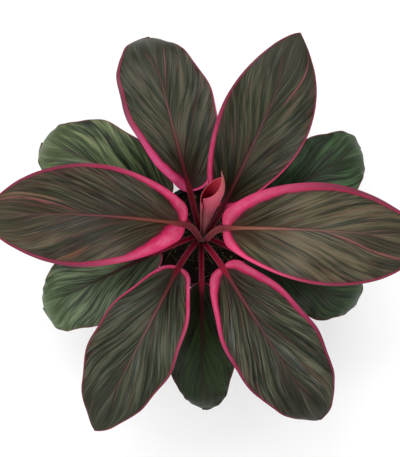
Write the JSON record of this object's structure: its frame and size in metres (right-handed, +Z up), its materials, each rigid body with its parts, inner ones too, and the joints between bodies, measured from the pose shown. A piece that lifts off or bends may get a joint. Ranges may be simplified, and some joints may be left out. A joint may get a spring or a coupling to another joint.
{
  "type": "potted ti plant",
  "caption": "Potted ti plant seen from above: a rosette of broad dark leaves with pink margins round a rolled young leaf, in a round nursery pot.",
  "frame": {"origin": "middle of the pot's flat underside, on the stem's axis", "axes": "+Z up along the stem; +Y towards the top of the picture and +X to its right"},
  "size_m": [0.4482, 0.4095, 0.273],
  "materials": {
    "pot": "moulded black plastic, satin",
    "soil": "dark peat and bark mix, rough",
    "stem": "cane with leaf scars, matt",
    "young_leaf": "smooth living leaf, satin",
    "top_leaf": "living leaf with pink margin, satin",
    "dark_leaf": "living leaf with pink margin, satin",
    "green_leaf": "living leaf with thin maroon margin, satin"
  },
  "bodies": {
    "root": {"pot": "pot", "soil": "soil", "stem": "stem", "spear": "young_leaf", "leaf_left": "top_leaf", "leaf_right": "top_leaf", "leaf_upper_right": "dark_leaf", "leaf_upper_left": "dark_leaf", "leaf_lower_left": "dark_leaf", "leaf_lower_right": "dark_leaf", "leaf_under_right": "green_leaf", "leaf_under_left": "green_leaf", "leaf_under_upper_right": "green_leaf", "leaf_under_upper_left": "green_leaf", "leaf_under_front": "green_leaf"}
  },
  "joints": []
}
